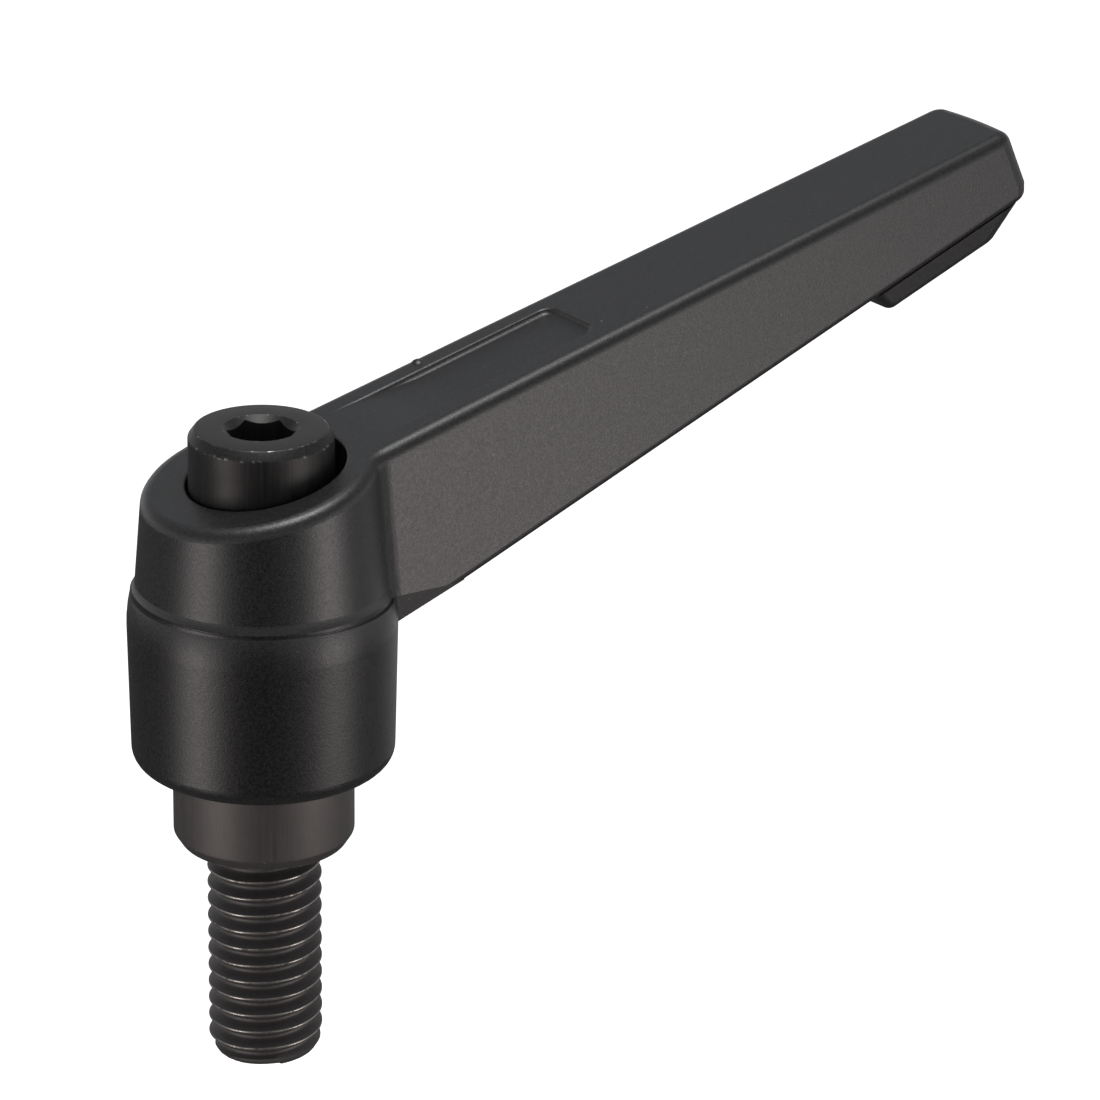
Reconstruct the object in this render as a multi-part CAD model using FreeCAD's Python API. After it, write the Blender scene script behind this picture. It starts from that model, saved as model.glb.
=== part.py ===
"""Adjustable clamping lever: die-cast lever, splined stud insert, retaining screw and return spring.

The origin is the centre of the collar's seating face. +Z runs up the stud's axis, the threaded stud
points down, and the arm leaves the hub along +X and rises. All lengths are in millimetres.
"""
import FreeCAD
import Part
import math
import os
from FreeCAD import Rotation, Vector

# Stud insert: one turned piece with its thread below and its splines above
THREAD_PITCH = 1.25
THREAD_ROOT_SHARE = 0.25
THREAD_CREST_SHARE = 0.125
THREAD_CREST = -2.59
THREAD_FLANK_ANGLE = 30.0
THREAD_TOP_GAP = 0.62
THREAD_OVERCUT = 0.05
STUD_RADIUS = 3.9
STUD_LENGTH = 15.75
STUD_POINT_RADIUS = 3.37
STUD_POINT_LENGTH = 0.87
COLLAR_RADIUS = 6.15
COLLAR_VISIBLE = 5.87
COLLAR_INSIDE = 4.83
COLLAR_CHAMFER_RADIAL = 0.50
COLLAR_CHAMFER_AXIAL = 0.78
SPLINE_COUNT = 24
SPLINE_LENGTH = 3.9
SPLINE_TIP_RADIUS = 6.0
SPLINE_ROOT_RADIUS = 5.4
SPLINE_TIP_SHARE = 0.24
SPLINE_ROOT_SHARE = 0.62

# Retaining screw: cylindrical head, plain shank, thread in the insert
HEAD_RADIUS = 4.87
HEAD_HEIGHT = 4.86
HEAD_CHAMFER_RADIAL = 0.43
HEAD_CHAMFER_AXIAL = 0.58
SHANK_RADIUS = 3.0
SHANK_LENGTH = 10.14
SCREW_THREAD_RADIUS = 2.4
SCREW_THREAD_LENGTH = 7.0
SOCKET_FLATS = 4.0
SOCKET_DEPTH = 2.55
SOCKET_MOUTH_RADIUS = 2.55
SOCKET_MOUTH_DEPTH = 0.44
SOCKET_TURN = 24.2

# Return spring: round wire, closed at both ends
SPRING_WIRE = 0.8
SPRING_MEAN_RADIUS = 4.25
SPRING_END_GAP = 0.02

# Lever casting: hub
BARREL_FOOT_RADIUS = 8.89
BARREL_DRAFT = 0.0205
BARREL_FOOT_FILLET = 1.20
SHOULDER_DROP = 2.24
SHOULDER_INSET = 0.26
SHOULDER_MIDDLE_SHARE = 0.21
UPPER_HUB_STEP = 0.305
UPPER_HUB_DRAFT = 0.0795
UPPER_FOOT_FLARE = 0.175
UPPER_FOOT_HEIGHT = 0.97
UPPER_FOOT_LIFT = 0.25
UPPER_FOOT_MIDDLE_FLARE_SHARE = 0.45
UPPER_FOOT_MIDDLE_HEIGHT_SHARE = 0.4
PARTING_HEIGHT = 18.06
PARTING_FALL = 0.037
PARTING_GROOVE_DEPTH = 0.10
PARTING_GROOVE_WIDTH = 0.16
PARTING_GROOVE_ANGLE = 44.0
WEB_THICKNESS = 2.4
POCKET_RADIUS = 5.35
POCKET_SHIFT = 0.37
POCKET_EDGE_ROUND = 0.18
TOP_HEIGHT = 26.52
TOP_SLOPE = 0.2258
TOP_EDGE_ROUND = 0.92

# Lever casting: arm
ARM_REACH = 63.0
ARM_HALF_WIDTH = 5.0
ARM_DRAFT = 0.062
ARM_END_RUN = 1.7
ARM_END_BOW = 0.35
ARM_NOSE_HEIGHT = 0.97
PARTING_REACH = 12.90
ARM_UNDERSIDE_SLOPE = 0.3550
ARM_ROOT_FILLET = 2.05
ARM_TIP_ROUND = 1.25
ARM_LOWER_EDGE_ROUND = 0.60
LUG_DROP = 1.97
LUG_LENGTH = 14.2
LUG_FRONT_RUN = 1.65
LUG_END_RUN = 2.33
LUG_DRAFT = 0.12
LUG_CORNER_ROUND = 0.87
LUG_FOOT_ROUND = 0.60
GUSSET_DRAFT = 0.10
PARTING_STEP = 0.29

# Lever casting: sunk panel and vent nib on the arm's top face
PANEL_START = 6.9
PANEL_RAMP = 9.0
PANEL_END = 26.1
PANEL_HALF_WIDTH = 2.70
PANEL_DEPTH = 0.34
PANEL_WALL_ANGLE = 60.0
PANEL_RIM_ROUND = 0.20
PANEL_CORNER = 0.90
NIB_PLACE = 15.36
NIB_RADIUS = 0.60
NIB_STAND = 0.15

# Clearances between the pieces
BORE_CLEARANCE = 0.05
SPLINE_CLEARANCE = 0.08
SPLINE_RUNOUT = 0.30
SHANK_CLEARANCE = 0.10
THREAD_CLEARANCE = 0.05
THREAD_BOTTOM_CLEARANCE = 1.0
MOUTH_CHAMFER = 0.35

# Places that follow from the sizes above
COLLAR_TOP = COLLAR_VISIBLE + COLLAR_INSIDE
INSERT_TOP = COLLAR_TOP + SPLINE_LENGTH
WEB_TOP = INSERT_TOP + WEB_THICKNESS
HEAD_SEAT = INSERT_TOP + SHANK_LENGTH
HEAD_TOP = HEAD_SEAT + HEAD_HEIGHT
SPLINE_BAND_FOOT = COLLAR_TOP + SPLINE_RUNOUT
SHOULDER_RADIUS = BARREL_FOOT_RADIUS + BARREL_DRAFT * (PARTING_HEIGHT - COLLAR_VISIBLE) - SHOULDER_INSET
UPPER_HUB_RADIUS = SHOULDER_RADIUS - UPPER_HUB_STEP
ARM_TOP_REACH = ARM_REACH - ARM_END_RUN
LUG_START = ARM_REACH - LUG_LENGTH
LUG_FRONT = LUG_START + LUG_FRONT_RUN
LUG_END = ARM_REACH - LUG_END_RUN

# Reach of helper solids that only bound a cut
BEYOND = 120.0
OVERLAP = 1.0

# Distance under which two points count as one when edges are picked for rounding
SAME = 0.01


def turned(points):
    """Solid turned about the Z axis from (radius, height) points."""
    corners = [Vector(radius, 0, height) for radius, height in points]
    outline = Part.Wire(Part.makePolygon(corners + corners[:1]).Edges)
    return Part.Face(outline).revolve(Vector(0, 0, 0), Vector(0, 0, 1), 360)


def turned_wire(edges):
    """Solid turned about the Z axis from a closed chain of edges in the XZ plane."""
    return Part.Face(Part.Wire(edges)).revolve(Vector(0, 0, 0), Vector(0, 0, 1), 360)


def cylinder(radius, low, high, x=0.0):
    return Part.makeCylinder(radius, high - low, Vector(x, 0, low))


def prism_across(points, half_width):
    """Solid of a side view given as (x, z) points, as wide as twice half_width."""
    corners = [Vector(x, -half_width, z) for x, z in points]
    outline = Part.makePolygon(corners + corners[:1])
    return Part.Face(Part.Wire(outline.Edges)).extrude(Vector(0, 2 * half_width, 0))


def top_height(x):
    """Height of the inclined top face that the hub and the arm share."""
    return TOP_HEIGHT + TOP_SLOPE * x


def parting_height(x):
    """Height of the die's parting face round the hub."""
    return PARTING_HEIGHT - PARTING_FALL * x


def underside_height(x):
    """Height of the arm's underside, which meets the hub's parting face at PARTING_REACH."""
    return parting_height(PARTING_REACH) + ARM_UNDERSIDE_SLOPE * (x - PARTING_REACH)


def arm_half_width(height):
    """Half the arm's width at a height, wider towards the parting line."""
    return ARM_HALF_WIDTH + ARM_DRAFT * (top_height(0) - height)


def barrel_radius(height):
    """Radius of the lower barrel's drafted wall."""
    return BARREL_FOOT_RADIUS + BARREL_DRAFT * (height - COLLAR_VISIBLE)


def upper_hub_radius(height):
    """Radius of the upper hub's drafted wall."""
    return UPPER_HUB_RADIUS - UPPER_HUB_DRAFT * (height - PARTING_HEIGHT)


def spline_form(tip, root, low, high, extra_share=0.0):
    """Ring of straight splines as one extruded outline."""
    pitch = 2 * math.pi / SPLINE_COUNT
    root_half = pitch * SPLINE_ROOT_SHARE / 2 + extra_share
    tip_half = pitch * SPLINE_TIP_SHARE / 2 + extra_share
    corners = []
    for tooth in range(SPLINE_COUNT):
        middle = tooth * pitch
        for radius, turn in ((root, -root_half), (tip, -tip_half), (tip, tip_half), (root, root_half)):
            corners.append(Vector(radius * math.cos(middle + turn), radius * math.sin(middle + turn), low))
    outline = Part.makePolygon(corners + corners[:1])
    return Part.Face(Part.Wire(outline.Edges)).extrude(Vector(0, 0, high - low))


def thread_groove():
    """Cutter of the stud's right-handed thread, which leaves an eighth of the pitch flat at the crest."""
    flank = math.tan(math.radians(THREAD_FLANK_ANGLE))
    root_half = THREAD_PITCH * THREAD_ROOT_SHARE / 2
    crest_half = THREAD_PITCH * THREAD_CREST_SHARE / 2
    mouth_half = THREAD_PITCH / 2 - crest_half
    root_radius = STUD_RADIUS - (mouth_half - root_half) / flank
    open_radius = STUD_RADIUS + THREAD_OVERCUT
    open_half = mouth_half + THREAD_OVERCUT * flank
    groove_middle = THREAD_CREST + THREAD_PITCH / 2
    turns_below = math.ceil((groove_middle + STUD_LENGTH) / THREAD_PITCH) + 1
    start = groove_middle - turns_below * THREAD_PITCH
    corners = [
        Vector(root_radius, 0, start - root_half),
        Vector(root_radius, 0, start + root_half),
        Vector(open_radius, 0, start + open_half),
        Vector(open_radius, 0, start - open_half),
    ]
    outline = Part.Wire(Part.makePolygon(corners + corners[:1]).Edges)
    path = Part.makeLongHelix(THREAD_PITCH, -THREAD_TOP_GAP - start, STUD_RADIUS)
    path.translate(Vector(0, 0, start))
    return Part.Wire(path.Edges).makePipeShell([outline], True, True)


def make_stud_insert():
    """Threaded stud, collar and splined head, with the tapped hole for the screw."""
    body = turned([
        (0, -STUD_LENGTH),
        (STUD_POINT_RADIUS, -STUD_LENGTH),
        (STUD_RADIUS, -STUD_LENGTH + STUD_POINT_LENGTH),
        (STUD_RADIUS, 0),
        (COLLAR_RADIUS - COLLAR_CHAMFER_RADIAL, 0),
        (COLLAR_RADIUS, COLLAR_CHAMFER_AXIAL),
        (COLLAR_RADIUS, COLLAR_TOP),
        (SPLINE_ROOT_RADIUS, COLLAR_TOP),
        (SPLINE_ROOT_RADIUS, INSERT_TOP),
        (0, INSERT_TOP),
    ])
    splines = spline_form(SPLINE_TIP_RADIUS, SPLINE_ROOT_RADIUS, COLLAR_TOP, INSERT_TOP)
    hole_radius = SCREW_THREAD_RADIUS + THREAD_CLEARANCE
    hole_foot = INSERT_TOP - SCREW_THREAD_LENGTH - THREAD_BOTTOM_CLEARANCE
    hole = cylinder(hole_radius, hole_foot, INSERT_TOP + OVERLAP)
    body = body.fuse(splines).removeSplitter().cut(hole)
    return body.cut(thread_groove())


def make_retaining_screw():
    """Screw with a hexagon socket; its shank's end is a shoulder on the insert."""
    body = turned([
        (0, INSERT_TOP - SCREW_THREAD_LENGTH),
        (SCREW_THREAD_RADIUS, INSERT_TOP - SCREW_THREAD_LENGTH),
        (SCREW_THREAD_RADIUS, INSERT_TOP),
        (SHANK_RADIUS, INSERT_TOP),
        (SHANK_RADIUS, HEAD_SEAT),
        (HEAD_RADIUS, HEAD_SEAT),
        (HEAD_RADIUS, HEAD_TOP - HEAD_CHAMFER_AXIAL),
        (HEAD_RADIUS - HEAD_CHAMFER_RADIAL, HEAD_TOP),
        (0, HEAD_TOP),
    ])
    corner_radius = SOCKET_FLATS / math.sqrt(3)
    corners = []
    floor = HEAD_TOP - SOCKET_DEPTH
    for corner in range(6):
        angle = math.radians(SOCKET_TURN + 60 * corner)
        corners.append(Vector(corner_radius * math.cos(angle), corner_radius * math.sin(angle), floor))
    outline = Part.makePolygon(corners + corners[:1])
    socket = Part.Face(Part.Wire(outline.Edges)).extrude(Vector(0, 0, SOCKET_DEPTH + OVERLAP))
    mouth = Part.makeCone(
        SOCKET_FLATS / 2,
        SOCKET_MOUTH_RADIUS,
        SOCKET_MOUTH_DEPTH,
        Vector(0, 0, HEAD_TOP - SOCKET_MOUTH_DEPTH),
    )
    return body.cut(socket).cut(mouth)


def make_return_spring():
    """Space of the coiled wire between the hub's web and the underside of the head."""
    low = WEB_TOP + SPRING_END_GAP
    high = HEAD_SEAT - SPRING_END_GAP
    outside = cylinder(SPRING_MEAN_RADIUS + SPRING_WIRE / 2, low, high)
    inside = cylinder(SPRING_MEAN_RADIUS - SPRING_WIRE / 2, low - OVERLAP, high + OVERLAP)
    return outside.cut(inside)


def half_space(height_at, above):
    """Block above or below an inclined face given by its height along X."""
    far = BEYOND if above else -BEYOND
    points = [(-BEYOND, height_at(-BEYOND)), (BEYOND, height_at(BEYOND)), (BEYOND, far), (-BEYOND, far)]
    return prism_across(points, BEYOND)


def lower_barrel():
    """Barrel below the parting face: drafted wall, rounded foot and rounded shoulder."""
    foot = COLLAR_VISIBLE
    fillet = BARREL_FOOT_FILLET
    wall_foot = foot + fillet
    shoulder_foot = PARTING_HEIGHT - SHOULDER_DROP
    shoulder_top = PARTING_HEIGHT
    outer = barrel_radius(shoulder_foot)
    inner = outer - SHOULDER_INSET
    corner = barrel_radius(wall_foot)
    half = math.sqrt(0.5)
    rounded_foot = Part.Arc(
        Vector(corner - fillet, 0, foot),
        Vector(corner - fillet + fillet * half, 0, wall_foot - fillet * half),
        Vector(corner, 0, wall_foot),
    ).toShape()
    wall = Part.makeLine(Vector(corner, 0, wall_foot), Vector(outer, 0, shoulder_foot))
    shoulder = Part.Arc(
        Vector(outer, 0, shoulder_foot),
        Vector(outer - SHOULDER_INSET * SHOULDER_MIDDLE_SHARE, 0, (shoulder_foot + shoulder_top) / 2),
        Vector(inner, 0, shoulder_top),
    ).toShape()
    crest_top = shoulder_top + OVERLAP
    edges = [
        Part.makeLine(Vector(0, 0, foot), Vector(corner - fillet, 0, foot)),
        rounded_foot,
        wall,
        shoulder,
        Part.makeLine(Vector(inner, 0, shoulder_top), Vector(inner, 0, crest_top)),
        Part.makeLine(Vector(inner, 0, crest_top), Vector(0, 0, crest_top)),
        Part.makeLine(Vector(0, 0, crest_top), Vector(0, 0, foot)),
    ]
    return turned_wire(edges).cut(half_space(parting_height, True))


def upper_hub():
    """Hub above the parting face, with a drafted wall."""
    foot = PARTING_HEIGHT - OVERLAP
    high = top_height(BARREL_FOOT_RADIUS) + OVERLAP
    hub = turned([(0, foot), (upper_hub_radius(foot), foot), (upper_hub_radius(high), high), (0, high)])
    hub = hub.cut(half_space(parting_height, False))
    return hub.cut(half_space(top_height, True))


def upper_foot_flare():
    """Ring with a hollow flare round the foot of the upper hub."""
    foot = PARTING_HEIGHT - OVERLAP
    flare_foot = PARTING_HEIGHT + UPPER_FOOT_LIFT
    flare_top = flare_foot + UPPER_FOOT_HEIGHT
    wall_foot = upper_hub_radius(flare_top)
    inner = wall_foot - OVERLAP
    flare_radius = upper_hub_radius(flare_foot) + UPPER_FOOT_FLARE
    middle_radius = wall_foot + UPPER_FOOT_FLARE * UPPER_FOOT_MIDDLE_FLARE_SHARE
    middle_height = flare_foot + UPPER_FOOT_HEIGHT * UPPER_FOOT_MIDDLE_HEIGHT_SHARE
    flare = Part.Arc(
        Vector(flare_radius, 0, flare_foot),
        Vector(middle_radius, 0, middle_height),
        Vector(wall_foot, 0, flare_top),
    ).toShape()
    edges = [
        Part.makeLine(Vector(inner, 0, foot), Vector(flare_radius, 0, foot)),
        Part.makeLine(Vector(flare_radius, 0, foot), Vector(flare_radius, 0, flare_foot)),
        flare,
        Part.makeLine(Vector(wall_foot, 0, flare_top), Vector(inner, 0, flare_top)),
        Part.makeLine(Vector(inner, 0, flare_top), Vector(inner, 0, foot)),
    ]
    return turned_wire(edges).cut(half_space(parting_height, False))


def drafted_block(low, high, low_half, high_half, x_from, x_to):
    """Block along X whose side faces lean between two half widths."""
    corners = [
        Vector(x_from, -low_half, low),
        Vector(x_from, low_half, low),
        Vector(x_from, high_half, high),
        Vector(x_from, -high_half, high),
    ]
    outline = Part.makePolygon(corners + corners[:1])
    return Part.Face(Part.Wire(outline.Edges)).extrude(Vector(x_to - x_from, 0, 0))


def end_bow(foot, head):
    """Large cylinder whose outermost line runs through foot and head, two (x, z) points of the end."""
    radius = (ARM_HALF_WIDTH ** 2 + ARM_END_BOW ** 2) / (2 * ARM_END_BOW)
    along = Vector(head[0] - foot[0], 0, head[1] - foot[1]).normalize()
    outward = Vector(along.z, 0, -along.x)
    axis_foot = Vector(foot[0], 0, foot[1]) - outward * radius - along * BEYOND
    return Part.makeCylinder(radius, 2 * BEYOND, axis_foot, along)


def arm_above_parting():
    """Arm with drafted sides, from inside the hub to the bowed and slanted tip."""
    past_end = ARM_REACH + OVERLAP
    side = [
        (0, parting_height(0)),
        (0, top_height(0)),
        (past_end, top_height(past_end)),
        (past_end, underside_height(past_end)),
        (PARTING_REACH, underside_height(PARTING_REACH)),
    ]
    profile = prism_across(side, BEYOND / 2)
    low = parting_height(PARTING_REACH) - OVERLAP
    high = top_height(past_end) + OVERLAP
    block = drafted_block(low, high, arm_half_width(low), arm_half_width(high), 0, past_end)
    nose_foot = (ARM_REACH, underside_height(ARM_REACH))
    nose_top = (ARM_REACH, underside_height(ARM_REACH) + ARM_NOSE_HEIGHT)
    tip_top = (ARM_TOP_REACH, top_height(ARM_TOP_REACH))
    return profile.common(block).common(end_bow(nose_foot, nose_top)).common(end_bow(nose_top, tip_top))


def ends_of(edge):
    """Points at the two ends of an edge."""
    return [vertex.Point for vertex in edge.Vertexes]


def middle_of(edge):
    return edge.valueAt((edge.FirstParameter + edge.LastParameter) / 2)


def rise_of(edge):
    """Difference in height between an edge's two ends."""
    heights = [point.z for point in ends_of(edge)]
    return max(heights) - min(heights)


def lies_on(edge, height_at):
    """Whether an edge lies in an inclined face given by its height along X."""
    points = ends_of(edge) + [middle_of(edge)]
    return all(abs(point.z - height_at(point.x)) < SAME for point in points)


def upper_casting():
    """Upper hub and arm in one, with the root fillets, the tip rounds and the edge rounds."""
    body = upper_hub().fuse(arm_above_parting()).removeSplitter()
    roots = []
    for edge in body.Edges:
        beside_arm = all(abs(abs(point.y) - arm_half_width(point.z)) < SAME for point in ends_of(edge))
        if beside_arm and middle_of(edge).x < BARREL_FOOT_RADIUS and rise_of(edge) > SAME:
            roots.append(edge)
    body = body.makeFillet(ARM_ROOT_FILLET, roots)
    tips = []
    for edge in body.Edges:
        at_tip = min(point.x for point in ends_of(edge)) > LUG_END
        beside_middle = abs(middle_of(edge).y) > ARM_HALF_WIDTH / 2
        if at_tip and beside_middle and rise_of(edge) > ARM_NOSE_HEIGHT / 2:
            tips.append(edge)
    body = body.makeFillet(ARM_TIP_ROUND, tips)
    body = body.makeFillet(TOP_EDGE_ROUND, [edge for edge in body.Edges if lies_on(edge, top_height)])
    lower = []
    for edge in body.Edges:
        middle = middle_of(edge)
        across_root = abs(middle.y) < SAME and middle.x < LUG_END
        beyond_root = min(point.x for point in ends_of(edge)) > PARTING_REACH - SAME
        if lies_on(edge, underside_height) and beyond_root and not across_root:
            lower.append(edge)
    return body.makeFillet(ARM_LOWER_EDGE_ROUND, lower)


def gusset():
    """Wedge under the arm's root, between the parting face and the underside, drafted inwards."""
    side = [
        (0, underside_height(0)),
        (PARTING_REACH, underside_height(PARTING_REACH)),
        (0, parting_height(0)),
    ]
    low = underside_height(0)
    high = parting_height(0)
    wide = arm_half_width(parting_height(PARTING_REACH)) - PARTING_STEP
    narrow = wide - GUSSET_DRAFT * (high - low)
    block = drafted_block(low, high, narrow, wide, 0, PARTING_REACH + OVERLAP)
    return prism_across(side, BEYOND / 2).common(block)


def lug():
    """Raised pad under the arm's tip, drafted inwards below the parting line, with a rounded foot."""
    past_end = ARM_REACH + OVERLAP
    past_floor = LUG_END + OVERLAP
    side = [
        (LUG_START, underside_height(LUG_START)),
        (LUG_FRONT, underside_height(LUG_FRONT) - LUG_DROP),
        (past_floor, underside_height(past_floor) - LUG_DROP),
        (past_end, underside_height(past_end)),
    ]
    bar = prism_across(side, BEYOND / 2)
    front = []
    for edge in bar.Edges:
        if abs(middle_of(edge).y) < SAME and abs(middle_of(edge).x - LUG_FRONT) < SAME:
            front.append(edge)
    bar = bar.makeFillet(LUG_CORNER_ROUND, front)
    sections = []
    for x in (LUG_START, past_end):
        high = underside_height(x)
        low = high - LUG_DROP - OVERLAP
        wide = arm_half_width(high) - PARTING_STEP
        narrow = wide - LUG_DRAFT * (high - low)
        outline = [(-narrow, low), (narrow, low), (wide, high), (-wide, high), (-narrow, low)]
        sections.append(Part.makePolygon([Vector(x, y, z) for y, z in outline]))
    end_foot = (LUG_END, underside_height(LUG_END) - LUG_DROP)
    end_top = (ARM_REACH, underside_height(ARM_REACH))
    bar = bar.common(Part.makeLoft(sections, True, True)).common(end_bow(end_foot, end_top))
    corners = []
    for edge in bar.Edges:
        if min(point.x for point in ends_of(edge)) > LUG_END - OVERLAP and rise_of(edge) > LUG_DROP / 2:
            corners.append(edge)
    bar = bar.makeFillet(ARM_TIP_ROUND, corners)
    foot = []
    for edge in bar.Edges:
        points = ends_of(edge) + [middle_of(edge)]
        below = min(underside_height(point.x) - point.z for point in points)
        if below > LUG_DROP - SAME and abs(middle_of(edge).x - LUG_FRONT) > LUG_CORNER_ROUND:
            foot.append(edge)
    return bar.makeFillet(LUG_FOOT_ROUND, foot)


def parting_groove():
    """Thin ring cut along the leaning parting face, open over the arm's root."""
    height = PARTING_GROOVE_WIDTH / 2
    inner = barrel_radius(PARTING_HEIGHT) - SHOULDER_INSET - PARTING_GROOVE_DEPTH
    ring = cylinder(BEYOND / 2, -height, height).cut(cylinder(inner, -OVERLAP, OVERLAP))
    reach = BEYOND
    spread = reach * math.tan(math.radians(PARTING_GROOVE_ANGLE))
    corners = [Vector(0, 0, -OVERLAP), Vector(reach, -spread, -OVERLAP), Vector(reach, spread, -OVERLAP)]
    wedge = Part.Face(Part.Wire(Part.makePolygon(corners + corners[:1]).Edges))
    ring = ring.cut(wedge.extrude(Vector(0, 0, 2 * OVERLAP)))
    lean = math.degrees(math.atan(PARTING_FALL))
    ring.rotate(Vector(0, 0, 0), Vector(0, 1, 0), lean)
    ring.translate(Vector(0, 0, PARTING_HEIGHT))
    return ring


def panel_rim_profile(x, rim_round, floor_round, high):
    """Section of the panel's rim at x: it rolls over from the arm's top face and runs out on the floor."""
    wall = math.radians(PANEL_WALL_ANGLE)
    outer = -PANEL_HALF_WIDTH - rim_round * math.sin(wall)
    inner = floor_round * math.sin(wall) - PANEL_HALF_WIDTH
    rim = Vector(x, outer, 0)
    rim_middle = Vector(x, outer + rim_round * math.sin(wall / 2), -rim_round * (1 - math.cos(wall / 2)))
    bend = Vector(x, -PANEL_HALF_WIDTH, -rim_round * (1 - math.cos(wall)))
    floor_middle = Vector(
        x,
        inner - floor_round * math.sin(wall / 2),
        floor_round * (1 - math.cos(wall / 2)) - PANEL_DEPTH,
    )
    floor = Vector(x, inner, -PANEL_DEPTH)
    return Part.Wire([
        Part.Arc(floor, floor_middle, bend).toShape(),
        Part.Arc(bend, rim_middle, rim).toShape(),
        Part.makeLine(rim, Vector(x, outer, high)),
        Part.makeLine(Vector(x, outer, high), Vector(x, inner, high)),
        Part.makeLine(Vector(x, inner, high), floor),
    ])


def panel_line(start, inset):
    """Plan line round the panel's far end, drawn an inset inside the middle of its rim."""
    half = PANEL_HALF_WIDTH - inset
    end = PANEL_END - inset
    radius = PANEL_CORNER - inset
    bend = end - radius
    straight = half - radius
    diagonal = radius * math.sqrt(0.5)
    near_middle = Vector(bend + diagonal, -straight - diagonal, 0)
    far_middle = Vector(bend + diagonal, straight + diagonal, 0)
    return [
        Part.makeLine(Vector(start, -half, 0), Vector(bend, -half, 0)),
        Part.Arc(Vector(bend, -half, 0), near_middle, Vector(end, -straight, 0)).toShape(),
        Part.makeLine(Vector(end, -straight, 0), Vector(end, straight, 0)),
        Part.Arc(Vector(end, straight, 0), far_middle, Vector(bend, half, 0)).toShape(),
        Part.makeLine(Vector(bend, half, 0), Vector(start, half, 0)),
    ]


def panel_ramp(low, high):
    """Room above the panel's ramp, which leaves the floor and meets the hub's top in two equal arcs."""
    foot = PANEL_START + PANEL_RAMP
    radius = (PANEL_RAMP ** 2 / 4 + (high - low) ** 2 / 4) / (high - low)
    turn = math.asin(PANEL_RAMP / 2 / radius)
    aside = radius * math.sin(turn / 2)
    rise = radius * (1 - math.cos(turn / 2))
    middle = Vector(PANEL_START + PANEL_RAMP / 2, -BEYOND / 2, (low + high) / 2)

    def at(x, z):
        return Vector(x, -BEYOND / 2, z)

    outline = Part.Wire([
        Part.makeLine(at(PANEL_START, BEYOND), at(PANEL_START, high)),
        Part.Arc(at(PANEL_START, high), at(PANEL_START + aside, high - rise), middle).toShape(),
        Part.Arc(middle, at(foot - aside, low + rise), at(foot, low)).toShape(),
        Part.makeLine(at(foot, low), at(foot, -BEYOND)),
        Part.makeLine(at(foot, -BEYOND), at(BEYOND, -BEYOND)),
        Part.makeLine(at(BEYOND, -BEYOND), at(BEYOND, BEYOND)),
        Part.makeLine(at(BEYOND, BEYOND), at(PANEL_START, BEYOND)),
    ])
    return Part.Face(outline).extrude(Vector(0, BEYOND, 0))


def sunk_panel():
    """Cutter of the shallow panel: a rolled rim round its far end and a ramp at the hub."""
    wall = math.radians(PANEL_WALL_ANGLE)
    floor_round = PANEL_DEPTH / (1 - math.cos(wall)) - PANEL_RIM_ROUND
    inset = floor_round * math.sin(wall)
    start = PANEL_START - OVERLAP
    rim = Part.Wire(panel_line(start, 0))
    section = panel_rim_profile(start, PANEL_RIM_ROUND, floor_round, PANEL_DEPTH)
    cutter = rim.makePipeShell([section], True, False)
    half = PANEL_HALF_WIDTH - inset
    closing = Part.makeLine(Vector(start, half, 0), Vector(start, -half, 0))
    floor = Part.Face(Part.Wire(panel_line(start, inset) + [closing]))
    floor.translate(Vector(0, 0, -PANEL_DEPTH))
    cutter = cutter.fuse(floor.extrude(Vector(0, 0, 2 * PANEL_DEPTH))).removeSplitter()
    cutter = cutter.common(panel_ramp(-PANEL_DEPTH - SAME / 2, SAME / 2))
    cutter.rotate(Vector(0, 0, 0), Vector(0, 1, 0), -math.degrees(math.atan(TOP_SLOPE)))
    cutter.translate(Vector(0, 0, TOP_HEIGHT + SAME / 2))
    return cutter


def vent_nib():
    """Stub of a die vent on the far top edge."""
    height = top_height(NIB_PLACE)
    across = arm_half_width(height) - TOP_EDGE_ROUND
    return Part.makeSphere(NIB_RADIUS, Vector(NIB_PLACE, across, height - NIB_RADIUS + NIB_STAND))


def insert_bore():
    """Guide bore, spline band, screw hole and spring pocket, cut through the hub."""
    guide_radius = COLLAR_RADIUS + BORE_CLEARANCE
    guide = cylinder(guide_radius, COLLAR_VISIBLE - OVERLAP, SPLINE_BAND_FOOT)
    mouth = Part.makeCone(
        guide_radius + MOUTH_CHAMFER,
        guide_radius,
        MOUTH_CHAMFER,
        Vector(0, 0, COLLAR_VISIBLE),
    )
    band = spline_form(
        SPLINE_TIP_RADIUS + SPLINE_CLEARANCE,
        SPLINE_ROOT_RADIUS + SPLINE_CLEARANCE,
        SPLINE_BAND_FOOT - OVERLAP,
        INSERT_TOP,
        SPLINE_CLEARANCE / SPLINE_ROOT_RADIUS,
    )
    screw_hole = cylinder(SHANK_RADIUS + SHANK_CLEARANCE, INSERT_TOP - OVERLAP, WEB_TOP + OVERLAP)
    return guide.fuse([mouth, band, screw_hole]).removeSplitter()


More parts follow.
